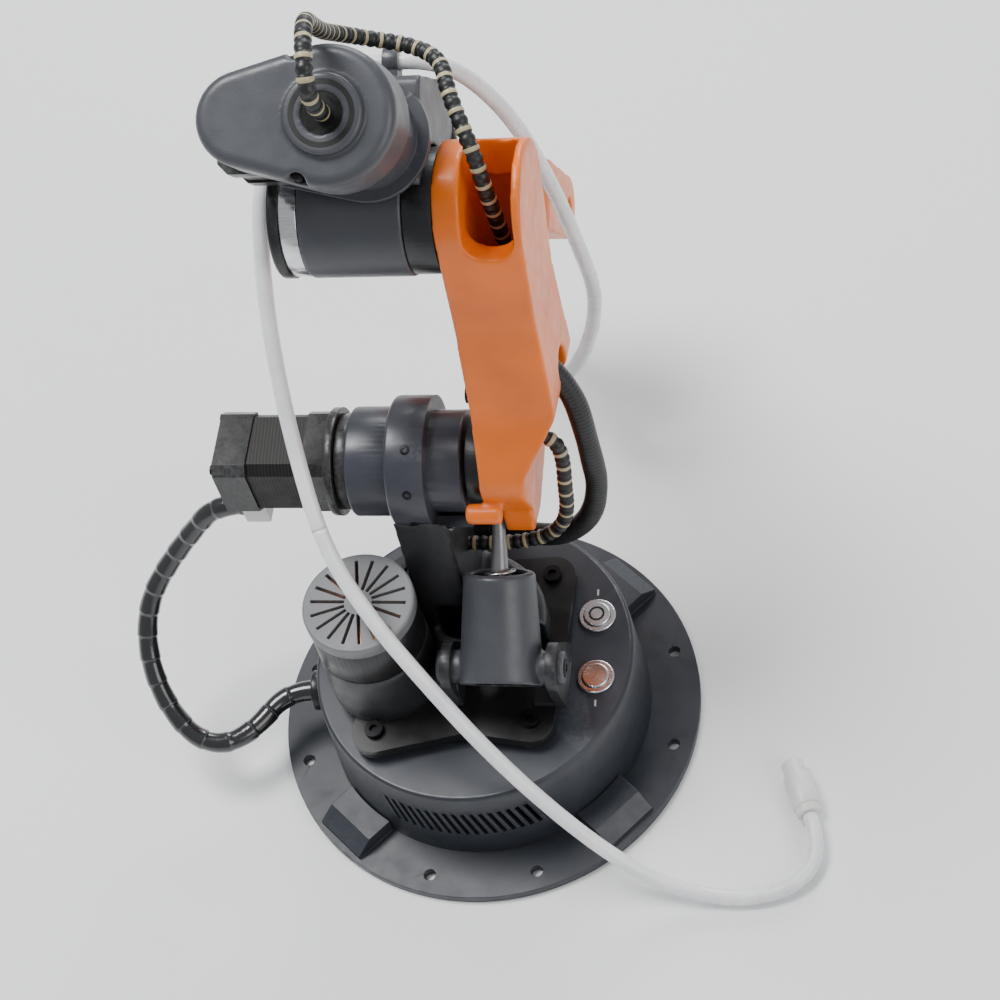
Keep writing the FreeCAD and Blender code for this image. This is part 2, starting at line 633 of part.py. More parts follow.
def make_upper_arm():
    x0 = size.link_left
    length = size.upper_arm_length
    side = corners([
        (25, -14, 12), (24, 30, 60), (20.5, 70, 60), (23, length + 22, 21), (-22, length + 22, 21),
        (-17, 70, 40), (-18, 34, 40), (-25, 4, 14), (-9, -15, 6), (-7, -29, 5), (9, -29, 5),
    ])
    blank = pad("link_blank", side, "link_thickness", at=(x0, 0, 0), turn=SIDEWAYS)
    back = corners([
        (x0, -40, 0), (x0, length + 30, 12), (x0 + 29, length + 30, 12),
        (x0 + 27.5, 72, 60), (x0 + 29, 34, 9), (x0 + 16, 11, 9), (x0 + 11, -40, 0),
    ])
    face = pad("link_back", back, 80, plane="XZ_Plane", at=(0, 40, 0))
    shaped = common("link_shaped", blank, face)
    doc.recompute()
    hollow_side = corners([
        (15, 36, 8), (14, 70, 30), (15, length + 6, 5), (-11, length + 6, 5), (-11, 36, 8),
    ])
    hollow = pad("link_hollow", hollow_side, 17, at=(x0 + 8.5, 0, 0), turn=SIDEWAYS)
    mouth = pad("link_mouth", corners([(x0 + 9, length - 6, 7.5), (x0 + 25.5, length - 6, 7.5),
                                       (x0 + 25.5, 150, 0), (x0 + 9, 150, 0)]), 90,
                plane="XZ_Plane", at=(0, 10, 0))
    wire_exit = pad("wire_exit", hull((6, 22), 6.5, (6, 38), 6.5), 26, at=(x0 + 15, 0, 0), turn=SIDEWAYS)
    cheek = pad("tail_cheek", hull((0, -14.5), 3.5, (0, -size.tail_drop), 5.6), 2.8,
                at=(size.balancer_x - 6, 0, 0), turn=SIDEWAYS)
    slot = box("tail_slot", 6.4, 30, 22, (size.balancer_x, 0, -36.6))
    axle_low = cylinder("link_axle_low", 6, 8, (x0 - 1, 0, 0), "X")
    axle_high = cylinder("link_axle_high", 6, 8, (x0 - 1, 0, length), "X")
    pin_bore = cylinder("tail_pin_bore", 2, 16, (size.balancer_x - 8, 0, -size.tail_drop), "X")
    lug = rounded("stop_lug_round", cylinder("stop_lug", 3.6, 12.4, (x0 - 6.4, -22.6, -4.4), "X"),
                  1.4, circle_at("x", x0 - 6.4))
    bridge = box("tail_bridge", 12.4, 9, 3.6, (x0 - 0.8, 0, -14.6))
    whole = fuse("link_whole", shaped, cheek, lug, bridge)
    link = cut("link_cut", whole, hollow, mouth, wire_exit, slot, axle_low, axle_high, pin_bore)
    node("upper_arm_link", link, upper_arm)

    peg = cylinder("tail_pin_rod", 2, 12.6, (size.balancer_x - 6, 0, -size.tail_drop), "X")
    node("balancer_pin", peg, upper_arm)
    hub = fuse("shoulder_hub", cylinder("shoulder_disc", 16, 6.6, (x0 - 6.6, 0, 0), "X"),
               cylinder("shoulder_axle", 6, 11, (x0 - 5, 0, 0), "X"),
               cylinder("shoulder_spigot", "11 - running_gap", 10, (x0 - 16, 0, 0), "X"))
    node("shoulder_output_hub", cut("hub_flat", hub, box("hub_flat_room", 8, 40, 20, (x0 - 3, 0, -31))),
         upper_arm)
    hub = fuse("elbow_hub", cylinder("elbow_disc", 20.4, 9.4, (x0 - 9.4, 0, length), "X"),
               cylinder("elbow_axle", 6, 15, (x0 - 9, 0, length), "X"),
               cylinder("elbow_spigot", "11 - running_gap", 5, (x0 - 14, 0, length), "X"))
    node("elbow_output_hub", hub, upper_arm)
    node("upper_arm_screws", group("arm_screws", [
        cut("arm_screw_%d" % i, cylinder("arm_screw_head_%d" % i, 3, 2.2, (x0, y, z), "-X"),
            cylinder("arm_screw_socket_%d" % i, 1.4, 1.4, (x0 - 1, y, z), "-X"))
        for i, (y, z) in enumerate(ARM_SCREWS)
    ]), upper_arm)


# ------------------------------------------------------------------ elbow and head


def make_head():
    drum = cylinder("drum_can", "drum_radius", 34.2, (-25, 0, 0), "X")
    neck = pad("neck", corners([(-23, 6, 0), (24, -4, 8), (24, 41, 3), (15, 44, 3), (-23, 40, 3)]),
               30, at=(-14, 0, 0), turn=SIDEWAYS)
    casting = fuse("casting_body", drum, neck)
    bore = cylinder("spindle_room", 11, 60, (0, -30, 20), "Y")
    hub_room = cylinder("elbow_hub_room", 20.9, 20, (9.2, 0, 0), "X")
    spigot_room = cylinder("elbow_spigot_room", 11, 20, (0, 0, 0), "X")
    motor_room = cylinder("drum_room", "drum_radius - 2.5", 31, (-26, 0, 0), "X")
    motor_room_cut = cut("drum_room_cut", motor_room,
                         box("drum_room_roof", 80, 50, 30, (0, 0, 6.5)))
    node("elbow_housing", cut("casting_cut", casting, bore, motor_room_cut, hub_room, spigot_room), head)
    block = pad("elbow_motor_block", motor_outline(22), 24, at=(-24, 0, -5.6), turn=SIDEWAYS)
    band = tube("elbow_band", "drum_radius - 0.5", "drum_radius - 3", 5.9, (-30.95, 0, 0), "X")
    node("elbow_motor", group("elbow_motor_parts", [block, band]), head)
    lid = cylinder("elbow_lid_disc", "drum_radius", 4, (0, 0, 0))
    lid = rounded("elbow_lid_round", lid, 1.2, circle_at("z", 4))
    lid = cut("elbow_lid_cut", lid, *radial_slots("elbow", 24, 7, 18.4, 1.1, (0, 0, 1.6)))
    doc.recompute()
    lid.Placement = spot((-31, 0, 0), "-X")
    node("elbow_lid", lid, head)

    z = size.elbow_offset
    plate = corners([(-24, 16, 4), (-15, 45, 5), (13, 47, 5), (18, 22, 6), (12, -2, 6), (-14, -2, 6)])
    front = pad("front_plate", plate, 4, plane="XZ_Plane", at=(0, 28, 0))
    socket_cone = cone("socket_cone", 17, 13, 24, (0, 28, z), "Y")
    socket_cone = rounded("socket_round", socket_cone, 1.4, circle_at("y", 52))
    gusset = pad("socket_gusset", corners([(26, z + 8, 0), (48, z + 8, 0), (28, 44, 0), (26, 44, 0)]), 6,
                 at=(-3, 0, 0), turn=SIDEWAYS)
    socket = cut("socket_cut", fuse("socket_solid", front, socket_cone, gusset),
                 cylinder("socket_bore", "tube_radius + running_gap", 60, (0, 10, z), "Y"))
    node("head_front_casting", socket, head)

    reach = -size.cover_reach
    sections = ((-33, 7, 0), (-46, 13, 0.8), (-54, 8, 0))
    node("roll_motor", group("roll_motor_parts", [
        pad("roll_motor_section_%d" % i, motor_outline(size.motor_side - 2 * inset), length,
            plane="XZ_Plane", at=(reach, start + length, z))
        for i, (start, length, inset) in enumerate(sections)]), head)
    frame_parts = [
        pad("frame_front", hull((0, z), 20, (reach, z), 14.2), 3, plane="XZ_Plane", at=(0, -23, 0)),
        pad("frame_rear", hull((0, z), 20.5, (reach, z), 14), 3, plane="XZ_Plane", at=(0, -54, 0)),
        cylinder("frame_tube", 16, 30, (0, -55, z), "Y"),
    ]
    rooms = [
        box("frame_motor_room", 32.2, 28, 40, (reach - 2, -40, z - 20)),
        cylinder("frame_bore", 11, 50, (0, -62, z), "Y"),
        cylinder("frame_shaft_hole", "2.4 + running_gap", 50, (reach, -62, z), "Y"),
    ]
    node("head_rear_frame", cut("frame_cut", fuse("frame_body", *frame_parts), *rooms), head)

    outline = hull((0, z), size.cover_big, (reach, z), size.cover_small)
    shell = pad("cover_blank", outline, 19, plane="XZ_Plane", at=(0, -57, 0))
    doc.recompute()
    shell = rounded("cover_round", shell, 3.4,
                    lambda e: all(abs(v.Point.y + 76) < 0.01 for v in e.Vertexes))
    inside = pad("cover_inside", hull((0, z), size.cover_big - 2.2, (reach, z), size.cover_small - 2.2),
                 16.6, plane="XZ_Plane", at=(0, -57, 0))
    ring = cylinder("boss_ring", 12.4, 5, (0, -79, z), "Y")
    ring = rounded("boss_round", ring, 1.2, circle_at("y", -79))
    bore = cylinder("boss_bore", 6.4, 20, (0, -85, z), "Y")
    notches = [cylinder("cover_notch_%d" % i, 3.2, 10, (-9, -79, h), "Y")
               for i, h in enumerate((z + 19.8, z - 19.8))]
    notches += [cylinder("cover_screw_hole_%d" % i, 1.5, 16, (-9, -73, h), "Y")
                for i, h in enumerate((z + 17.4, z - 17.4))]
    node("head_rear_cover", cut("cover_cut_2", fuse("cover_ring", cut("cover_shell", shell, inside), ring),
                                bore, *notches), head)
    node("rear_cover_screws", group("cover_screws_2", [
        cylinder("rear_screw_%d" % i, 1.5, 16, (-9, -73, h), "Y")
        for i, h in enumerate((z + 17.4, z - 17.4))]), head)
    belt = cut("belt_ring",
               pad("belt_outside", hull((0, z), 13.3, (reach, z), 8.3), 6, plane="XZ_Plane", at=(0, -63, 0)),
               pad("belt_inside", hull((0, z), 12.3, (reach, z), 7.3), 8, plane="XZ_Plane", at=(0, -62, 0)))
    node("roll_belt", belt, head)
    node("forearm_bearings", group("forearm_bearing_pair", [
        tube("forearm_bearing_%d" % i, 11, "8 + running_gap", 6, (0, y, z), "Y")
        for i, y in enumerate((-53, 16.8))]), head)
    node("roll_motor_pulley", fuse("motor_pulley_body",
                                   cylinder("motor_pulley", 7, 7, (reach, -69.5, z), "Y"),
                                   cylinder("roll_motor_shaft", 2.4, 14.6, (reach, -69, z), "Y")), head)

    x, y, height = CLIP
    clip = fuse("clip_body",
                cylinder("clip_ring", 4.8, 5, (x - 2.5, y, height), "X"),
                box("clip_foot", 5, 7, 7, (x, y, height - 9)))
    clip_bore = cylinder("clip_bore", "hose_radius + 0.3", 12, (x - 6, y, height), "X")
    node("hose_clip", cut("clip_cut", clip, clip_bore, neck), head)


# ------------------------------------------------------------------ forearm


def make_forearm():
    pulley = cylinder("spindle_pulley", 12, 7, (0, -69.5, 0), "Y")
    spindle = fuse("forearm_spindle_body", pulley, cylinder("spindle_pipe", 8, 94, (0, -69.5, 0), "Y"),
                   cylinder("spindle_plug", "tube_radius - 1.8", 5, (0, 23, 0), "Y"))
    spindle = cut("forearm_spindle_cut", spindle, cylinder("spindle_hollow", 5.6, 110, (0, -75, 0), "Y"))
    node("forearm_spindle", spindle, forearm)
    node("forearm_tube", tube("forearm_pipe", "tube_radius", "tube_radius - 1.8",
                              "tube_end - 23", (0, 23, 0), "Y"), forearm)

    tip = size.forearm_length
    half, gap = size.fork_half, size.fork_gap_half
    plan = corners([
        (13.5, 99, 2), (half, 126, 8), (half, tip + 16, 5), (gap, tip + 16, 5), (gap, 139, 6),
        (-gap, 139, 6), (-gap, tip + 16, 5), (-half, tip + 16, 5), (-half, 126, 8), (-13.5, 99, 2),
    ])
    blank = pad("fork_plan", plan, 30, at=(0, 0, -15))
    side = pad("fork_side", hull((112, 0), 13.5, (tip, 0), size.prong_radius), 80, at=(-40, 0, 0),
               turn=SIDEWAYS)
    fork = common("fork_shape", blank, side)
    doc.recompute()
    tube_bore = cylinder("fork_tube_bore", "tube_radius", 20, (0, 92, 0), "Y")
    wire_bore = cylinder("fork_wire_bore", 5.6, 40, (0, 105, 0), "Y")
    pin_bore = cylinder("fork_pin_bore", "3.9 + running_gap", 80, (-40, tip, 0), "X")
    top_holes = [cylinder("fork_hole_%d" % i, 1.7, 12, (x, y, 6))
                 for i, (x, y) in enumerate(((0, 118), (22.6, 138), (-22.6, 138)))]
    node("wrist_fork", cut("fork_cut", fork, tube_bore, wire_bore, pin_bore, *top_holes), forearm)
    collar = tube("tube_collar_ring", 13, "tube_radius", 6, (0, 92.6, 0), "Y")
    node("tube_collar", rounded("tube_collar_round", collar, 1, circle_at("y", 92.6, 13)), forearm)


# ------------------------------------------------------------------ wrist and tool


def make_wrist():
    carrier = cylinder("carrier_can", "tool_motor_radius + 2.2", 22, (0, 0, -14))
    carrier = rounded("carrier_round", carrier, 1, circle_at("z", 8))
    arms = cylinder("carrier_arms", 7.4, "2 * fork_gap_half - 1", (-size.fork_gap_half + 0.5, 0, 0), "X")
    ring = cylinder("carrier_flange", 12.6, 3, (0, 0, -17))
    body = fuse("carrier_body", carrier, arms, ring)
    motor_bore = cylinder("carrier_bore", "tool_motor_radius", 32, (0, 0, -12))
    shaft_bore = cylinder("carrier_shaft_bore", 6, 12, (0, 0, -20))
    axle_bore = cylinder("carrier_axle_bore", 3.9, 60, (-30, 0, 0), "X")
    node("wrist_carrier", cut("carrier_cut", body, motor_bore, shaft_bore, axle_bore), wrist)
    pins = []
    for k, x in enumerate((9.2, -size.fork_half + 4)):
        length = size.fork_half - 4 - 9.2
        pins.append(cylinder("wrist_pin_%d" % k, 3.9, length, (x, 0, 0), "X"))
    node("wrist_pins", group("wrist_pin_set", pins), wrist)
    motor = cylinder("tool_motor_can", "tool_motor_radius", 35, (0, 0, -12))
    motor = rounded("tool_motor_round", motor, 0.6, circle_at("z", 23))
    disc = cylinder("tool_cap_disc", "tool_motor_radius - 0.8", 1.2, (0, 0, 23))
    cap = cut("tool_cap_cut", disc, cylinder("tool_cap_hole", 1.6, 2, (0, 0, 22.8)))
    node("tool_motor", group("tool_motor_parts", [motor, cap]), wrist)

    flange_z = -size.wrist_to_flange
    flange = fuse("tool_flange_body",
                  cylinder("tool_flange_disc", 12.2, 4.6, (0, 0, flange_z + 2.3)),
                  cylinder("tool_flange_shaft", "6 - running_gap", 7, (0, 0, flange_z + 4)))
    node("tool_flange", flange, wrist)
    adapter = fuse("adapter_body",
                   cylinder("adapter_plate", 11, 3, (0, 0, flange_z - 0.7)),
                   cone("adapter_cone", 6.6, 9, 18, (0, 0, flange_z - 18.7)))
    barb_z = flange_z - 8
    stub = cylinder("barb_stub", 3.2, 15, (0, 0, barb_z), "-Y")
    lips = [cone("barb_lip_%d" % i, 3.1, 2.5, 2.6, (0, -15.2 - 2.6 * i, barb_z), "-Y") for i in range(3)]
    adapter = fuse("adapter_whole", adapter, stub, *lips)
    bores = [cylinder("barb_bore", 1.4, 26, (0, 0, barb_z), "-Y"),
             cylinder("adapter_bore", 1.6, 20, (0, 0, flange_z - 20))]
    node("suction_adapter", cut("adapter_cut", adapter, *bores), wrist)

    lip = -size.cup_lip
    top = flange_z - 18.7
    neck = cylinder("cup_neck", 5, top - lip - 8, (0, 0, lip + 8))
    fold = cone("cup_fold", 6.6, 4.2, 4, (0, 0, lip + 4.2))
    skirt = cone("cup_skirt", 7.4, 4.6, 4.8, (0, 0, lip))
    hollow = cone("cup_hollow", 6.4, 2, 4.6, (0, 0, lip))
    node("suction_cup", cut("cup_cut", fuse("cup_body", neck, fold, skirt), hollow,
                            cylinder("cup_bore", 1.6, 30, (0, 0, lip))), wrist)


# ------------------------------------------------------------------ cords


def cord(name, points, radius):
    """A cord's tube: straight runs joined by tangent arcs as large as the runs allow."""
    route = [V(*p) for p in points]
    edges, radii = [], []
    here = route[0]
    for before, corner, after in zip(route, route[1:], route[2:]):
        back, ahead = before - corner, after - corner
        turn = math.pi - back.getAngle(ahead)
        bend = 0.45 * min(back.Length, ahead.Length) / math.tan(turn / 2)
        radii.append(bend)
        back.normalize()
        ahead.normalize()
        reach = bend * math.tan(turn / 2)
        first, last = corner + back * reach, corner + ahead * reach
        inward = (back + ahead).normalize()
        middle = corner + inward * (bend / math.cos(turn / 2) - bend)
        edges.append(Part.LineSegment(here, first).toShape())
        edges.append(Part.Arc(first, middle, last).toShape())
        here = last
    edges.append(Part.LineSegment(here, route[-1]).toShape())
    path = Part.Wire(edges)
    profile = Part.Wire(Part.makeCircle(radius, route[0], route[1] - route[0]))
    solid = path.makePipeShell([profile], True, False)
    drift = solid.Volume / (math.pi * radius**2 * path.Length) - 1
    print("%s: length %.0f mm, tightest radius %.1f mm, volume off by %.2f %%"
          % (name, path.Length, min(radii), 100 * drift))
    feature = doc.addObject("Part::Feature", name + "_tube")
    feature.Shape = solid
    node(name, feature)


LINK_FRAMES = {
    "ground": ground, "turret": turret, "upper_arm": upper_arm, "forearm": forearm, "wrist": wrist,
}

# Each route is a list of legs: the link whose frame the corners are given in, then the corners.
ROUTES = {
    "base_harness": ("harness_radius", [
        ("ground", [(-64.2, -2, 26), (-75, -2, 26), (-86, -17, 25), (-97, -24, 26), (-108, -22, 29),
                    (-117, -13, 37), (-122, -2, 48), (-122, 9, 60), (-117, 17, 72), (-107, 23, 84),
                    (-96, 27, 96)]),
        ("turret", [(-86, 23.69, 108.5), (-74.5, 23.69, 108.5)]),
    ]),
    "shoulder_sleeve_cable": ("sleeve_radius", [
        ("upper_arm", [(38, 6, 44), (45, 6, 34.5), (50, 6, 23), (52, 5, 9), (53, 5, -5)]),
        ("turret", [(53, 33, 108), (50, 29, 95), (42, 27, 86), (31, 28, 81), (17, 32, 80),
                    (4, 32, 80)]),
    ]),
    "shoulder_spiral_cable": ("wrap_radius", [
        ("upper_arm", [(37.83, -4, 16), (43.4, -4, 12.85), (45, -4, 4), (44, -4, -8)]),
        ("turret", [(43, 23.5, 107), (40, 23, 97), (33, 22, 90), (19, 21, 87), (4, 21, 87)]),
    ]),
    "head_spiral_cable": ("wrap_radius", [
        ("upper_arm", [(36, 2, 94), (36, -3, 107), (35, -7, 121), (33, -6, 135)]),
        ("forearm", [(25, -22, 14), (21, -14, 26), (10, -8, 32), (-4, -12, 34), (-10, -28, 33),
                     (-9, -48, 30), (-7, -66, 29), (-4, -83, 27), (-1, -95, 18), (0, -96, 6),
                     (0, -87, 0), (0, -72, 0)]),
    ]),
    "suction_hose": ("hose_radius", [
        ("wrist", [(0, -23, -32.29), (0, -31, -32.29), (5, -38, -31.5)]),
        ("ground", [(33, 108, 60), (46, 114, 78), (52, 118, 102), (50, 117, 130), (46, 116, 165),
                    (40, 112, 205), (31, 106, 235)]),
        ("forearm", [(14, 6, 29.5), (-6, 6, 29.5), (-22, 2, 26)]),
        ("ground", [(-40, 76, 234), (-44, 60, 212), (-46, 44, 184), (-44, 22, 152), (-37, -4, 126),
                    (-22, -24, 109), (-7, -38, 91), (9, -51, 70), (26, -62, 49), (44, -71, 28),
                    (62, -78, 12), (80, -82, 4), (99, -84, 3.2), (116, -79, 4.2), (124, -66, 5.2),
                    (120, -52, 5.2)]),
    ]),
}


def make_cords():
    for name, (radius, legs) in ROUTES.items():
        points = [LINK_FRAMES[link].multVec(V(*p)) for link, corners_in in legs for p in corners_in]
        cord(name, points, getattr(size, radius))
    fitting = fuse("fitting_body",
                   cylinder("fitting_collet", 4.6, 3, (0, 0, 0), "Y"),
                   cylinder("fitting_barrel", 5.2, 13, (0, 3, 0), "Y"),
                   cylinder("fitting_thread", 4.2, 6, (0, 16, 0), "Y"))
    fitting = cut("fitting_cut", fitting, cylinder("fitting_bore", 2.2, 30, (0, -1, 0), "Y"))
    node("hose_fitting", fitting, step(ground, (120, -52, 5.2), 15.9, V(0, 0, 1)))


make_base()
make_turret()
make_balancer()
make_upper_arm()
make_head()
make_forearm()
make_wrist()
make_cords()

# ------------------------------------------------------------------ checks and files

doc.recompute()
for item in doc.Objects:
    if {"Invalid", "Error"} & set(item.State):
        raise RuntimeError("%s (%s) failed: %s" % (item.Name, item.Label, item.State))
for item in NODES:
    if item.Shape.isNull() or not item.Shape.isValid():
        raise RuntimeError("%s has no valid shape" % item.Label)
    if not item.Shape.Solids:
        raise RuntimeError("%s has no solid" % item.Label)

os.makedirs("parts", exist_ok=True)
for item in NODES:
    item.Shape.exportStep("parts/%s.step" % item.Label)
print("%d sub-parts written" % len(NODES))
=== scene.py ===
import math

import bmesh
import bpy
from mathutils import Matrix, Vector


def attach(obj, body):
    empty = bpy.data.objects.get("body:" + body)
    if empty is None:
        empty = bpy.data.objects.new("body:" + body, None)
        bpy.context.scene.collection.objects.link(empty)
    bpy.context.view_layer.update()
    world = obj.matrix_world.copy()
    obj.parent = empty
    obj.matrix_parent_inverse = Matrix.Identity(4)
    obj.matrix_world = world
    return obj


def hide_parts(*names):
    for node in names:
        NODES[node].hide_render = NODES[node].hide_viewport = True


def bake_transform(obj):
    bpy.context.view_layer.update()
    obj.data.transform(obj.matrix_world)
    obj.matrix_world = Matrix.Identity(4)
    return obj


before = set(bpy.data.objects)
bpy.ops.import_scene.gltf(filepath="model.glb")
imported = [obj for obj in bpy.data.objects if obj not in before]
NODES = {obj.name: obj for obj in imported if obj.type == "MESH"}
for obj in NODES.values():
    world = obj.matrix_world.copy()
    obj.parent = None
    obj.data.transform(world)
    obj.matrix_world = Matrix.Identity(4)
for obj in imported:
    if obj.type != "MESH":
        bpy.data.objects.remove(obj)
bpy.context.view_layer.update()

MM = 0.001

# ------------------------------------------------------------------ link frames at rest


def turned(axis, degrees):
    return Matrix.Rotation(math.radians(degrees), 4, axis)


def moved(x, y, z):
    return Matrix.Translation(Vector((x, y, z)) * MM)


GROUND = Matrix.Identity(4)
TURRET = turned("Z", -4)
UPPER_ARM = TURRET @ moved(0, 29.69, 127) @ turned("X", -14)
HEAD = UPPER_ARM @ moved(0, 0, 108) @ turned("X", 14 - 57)
FOREARM = HEAD @ moved(0, 0, 20)
WRIST = FOREARM @ moved(0, 168.98, 0) @ turned("X", 57)
BALANCER = TURRET @ moved(18, -21, 71) @ turned("X", 39.4)
YAW_MOTOR = TURRET @ moved(-29.71, -11.88, 0)


def at(link, x, y, z):
    """A point given in a link's millimetres, in the row frame in metres."""
    return link @ (Vector((x, y, z)) * MM)


# ------------------------------------------------------------------ camera, light and floor


def add_camera():
    data = bpy.data.cameras.new("photo_camera")
    data.sensor_width = 36
    data.lens = 94.3
    camera = bpy.data.objects.new("photo_camera", data)
    right = Vector((0.984, 0.0434, -0.1728)).normalized()
    back = Vector((0.1678, -0.5507, 0.8177)).normalized()
    up = back.cross(right).normalized()
    right = up.cross(back)
    rotation = Matrix((right, up, back)).transposed().to_4x4()
    camera.matrix_world = Matrix.Translation((0.1758, -0.4857, 0.8654)) @ rotation
    bpy.context.scene.collection.objects.link(camera)
    bpy.context.scene.camera = camera


def add_light(name, place, target, size, power, tint=(1, 1, 1)):
    data = bpy.data.lights.new(name, "AREA")
    data.shape = "DISK"
    data.size = size
    data.energy = power
    data.color = tint
    lamp = bpy.data.objects.new(name, data)
    toward = (Vector(target) - Vector(place)).to_track_quat("-Z", "Y")
    lamp.matrix_world = Matrix.Translation(place) @ toward.to_matrix().to_4x4()
    bpy.context.scene.collection.objects.link(lamp)


def add_world():
    world = bpy.data.worlds.new("studio")
    world.use_nodes = True
    background = world.node_tree.nodes["Background"]
    background.inputs["Color"].default_value = (0.93, 0.96, 1.0, 1)
    background.inputs["Strength"].default_value = 0.5
    bpy.context.scene.world = world


def add_floor(surface):
    mesh = bpy.data.meshes.new("floor")
    reach = 3.0
    corners = [(-reach, -reach, 0), (reach, -reach, 0), (reach, reach, 0), (-reach, reach, 0)]
    mesh.from_pydata(corners, [], [(0, 1, 2, 3)])
    mesh.materials.append(surface)
    floor = bpy.data.objects.new("floor", mesh)
    bpy.context.scene.collection.objects.link(floor)


# ------------------------------------------------------------------ materials


class Shader:
    """A node material built round one Principled shader."""

    def __init__(self, name):
        self.material = bpy.data.materials.new(name)
        self.material.use_nodes = True
        self.tree = self.material.node_tree
        self.bsdf = self.tree.nodes["Principled BSDF"]
        self.place = self.add("ShaderNodeTexCoord").outputs["Object"]

    def add(self, kind, **settings):
        made = self.tree.nodes.new(kind)
        for key, value in settings.items():
            setattr(made, key, value)
        return made

    def join(self, source, target):
        self.tree.links.new(source, target)

    def set(self, **values):
        for key, value in values.items():
            self.bsdf.inputs[key.replace("_", " ")].default_value = value

    def noise(self, scale, detail=3.0, stretch=(1, 1, 1)):
        mapping = self.add("ShaderNodeMapping")
        mapping.inputs["Scale"].default_value = stretch
        self.join(self.place, mapping.inputs["Vector"])
        texture = self.add("ShaderNodeTexNoise")
        texture.inputs["Scale"].default_value = scale
        texture.inputs["Detail"].default_value = detail
        self.join(mapping.outputs["Vector"], texture.inputs["Vector"])
        return texture.outputs["Fac"]

    def ramp(self, source, stops):
        ramp = self.add("ShaderNodeValToRGB")
        elements = ramp.color_ramp.elements
        while len(elements) < len(stops):
            elements.new(0.5)
        for element, (position, colour) in zip(elements, stops):
            element.position = position
            element.color = (*colour, 1)
        self.join(source, ramp.inputs["Fac"])
        return ramp.outputs["Color"]

    def spread(self, source, low, high, start=0.3, end=0.7):
        """Maps a texture's usual values to a range."""
        node = self.add("ShaderNodeMapRange")
        limits = {"From Min": start, "From Max": end, "To Min": low, "To Max": high}
        for key, value in limits.items():
            node.inputs[key].default_value = value
        self.join(source, node.inputs["Value"])
        return node.outputs["Result"]

    def bump(self, source, strength, distance):
        node = self.add("ShaderNodeBump")
        node.inputs["Strength"].default_value = strength
        node.inputs["Distance"].default_value = distance
        self.join(source, node.inputs["Height"])
        self.join(node.outputs["Normal"], self.bsdf.inputs["Normal"])

    def edge(self, base, worn, start=0.52, end=0.62):
        """Mixes a worn colour in where the surface is sharply convex."""
        pointy = self.add("ShaderNodeNewGeometry").outputs["Pointiness"]
        share = self.spread(pointy, 0, 1, start, end)
        broken = self.add("ShaderNodeMath", operation="MULTIPLY")
        self.join(share, broken.inputs[0])
        self.join(self.spread(self.noise(700, 4), 0.1, 1.0), broken.inputs[1])
        mix = self.add("ShaderNodeMix", data_type="RGBA")
        self.join(broken.outputs[0], mix.inputs["Factor"])
        self.join(base, mix.inputs["A"])
        mix.inputs["B"].default_value = (*worn, 1)
        return mix.outputs["Result"]


def shade(colour, factor):
    return tuple(min(1, c * factor) for c in colour)


def coated(name, colour, rough, grain=1800, relief=0.12, metallic=0.0, worn=None, coat=0.0):
    """Paint or moulded plastic: cloudy colour, uneven gloss and a fine moulded texture."""
    s = Shader(name)
    cloud = s.ramp(s.noise(45, 5), [(0.3, shade(colour, 0.86)), (0.7, shade(colour, 1.12))])
    result = s.edge(cloud, worn) if worn else cloud
    s.join(result, s.bsdf.inputs["Base Color"])
    s.join(s.spread(s.noise(160, 4), rough - 0.06, rough + 0.08), s.bsdf.inputs["Roughness"])
    s.bump(s.noise(grain, 2), relief, 0.0002)
    s.set(Metallic=metallic, Coat_Weight=coat, Coat_Roughness=0.15)
    return s.material


def brushed(name, colour, rough, stretch):
    """Metal with fine lines left by turning or grinding."""
    s = Shader(name)
    lines = s.noise(260, 4, stretch)
    tone = s.ramp(lines, [(0.3, shade(colour, 0.88)), (0.7, shade(colour, 1.06))])
    s.join(tone, s.bsdf.inputs["Base Color"])
    s.join(s.spread(lines, rough - 0.05, rough + 0.08), s.bsdf.inputs["Roughness"])
    s.bump(lines, 0.06, 0.0001)
    s.set(Metallic=1.0, Anisotropic=0.4)
    return s.material


def laminated(name, colour, direction):
    """A motor's stack of thin sheets: dark bands across one direction."""
    s = Shader(name)
    wave = s.add("ShaderNodeTexWave", wave_type="BANDS", bands_direction=direction)
    wave.inputs["Scale"].default_value = 260
    wave.inputs["Distortion"].default_value = 0.4
    s.join(s.place, wave.inputs["Vector"])
    s.join(s.ramp(wave.outputs["Fac"], [(0.2, shade(colour, 0.7)), (0.8, colour)]),
           s.bsdf.inputs["Base Color"])
    s.join(s.spread(s.noise(220, 4), 0.38, 0.55), s.bsdf.inputs["Roughness"])
    s.bump(wave.outputs["Fac"], 0.25, 0.0001)
    s.set(Metallic=0.8)
    return s.material


def plain_floor():
    s = Shader("pale_floor")
    s.set(Base_Color=(0.86, 0.865, 0.87, 1))
    s.join(s.spread(s.noise(8, 2), 0.62, 0.70), s.bsdf.inputs["Roughness"])
    return s.material


def clear_hose():
    s = Shader("hose_polyurethane")
    cloud = s.ramp(s.noise(60, 3), [(0.3, (0.72, 0.74, 0.76)), (0.7, (0.86, 0.87, 0.88))])
    s.join(cloud, s.bsdf.inputs["Base Color"])
    s.join(s.spread(s.noise(200, 3), 0.22, 0.36), s.bsdf.inputs["Roughness"])
    s.bump(s.noise(500, 2), 0.05, 0.0001)
    s.set(Subsurface_Weight=0.25, Subsurface_Scale=0.002, Coat_Weight=0.4, Coat_Roughness=0.2)
    return s.material


